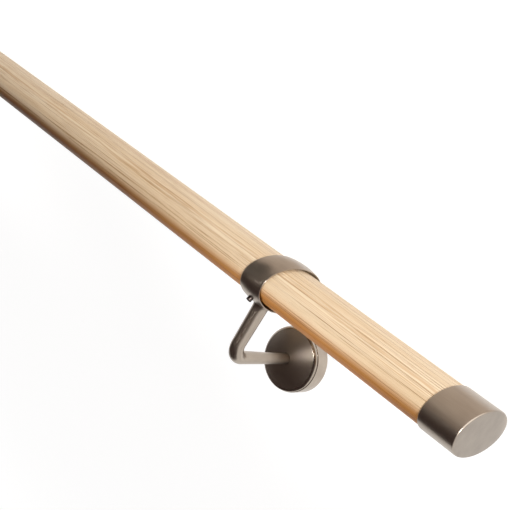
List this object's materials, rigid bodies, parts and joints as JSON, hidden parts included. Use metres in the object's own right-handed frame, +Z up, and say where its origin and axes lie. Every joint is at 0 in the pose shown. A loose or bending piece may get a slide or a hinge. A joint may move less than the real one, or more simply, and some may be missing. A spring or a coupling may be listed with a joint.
{
  "type": "stair handrail",
  "caption": "Oval oak wall handrail length with metal end caps, held by wall brackets that each have a crowned band, a bent tapered arm on a wall plate and a round rose cover.",
  "frame": {"origin": "middle of the footprint, on the floor that the rail lies on", "axes": "+X along the rail, away from the pictured end; +Y from the rail towards the roses; +Z up"},
  "size_m": [1.204, 0.1608, 0.0915],
  "materials": {
    "oak": "satin",
    "nickel": "satin"
  },
  "bodies": {
    "root": {"rail": "oak", "end_cap_near": "nickel", "end_cap_far": "nickel", "band_near": "nickel", "arm_near": "nickel", "rose_cover_near": "nickel", "band_far": "nickel", "arm_far": "nickel", "rose_cover_far": "nickel"}
  },
  "joints": []
}
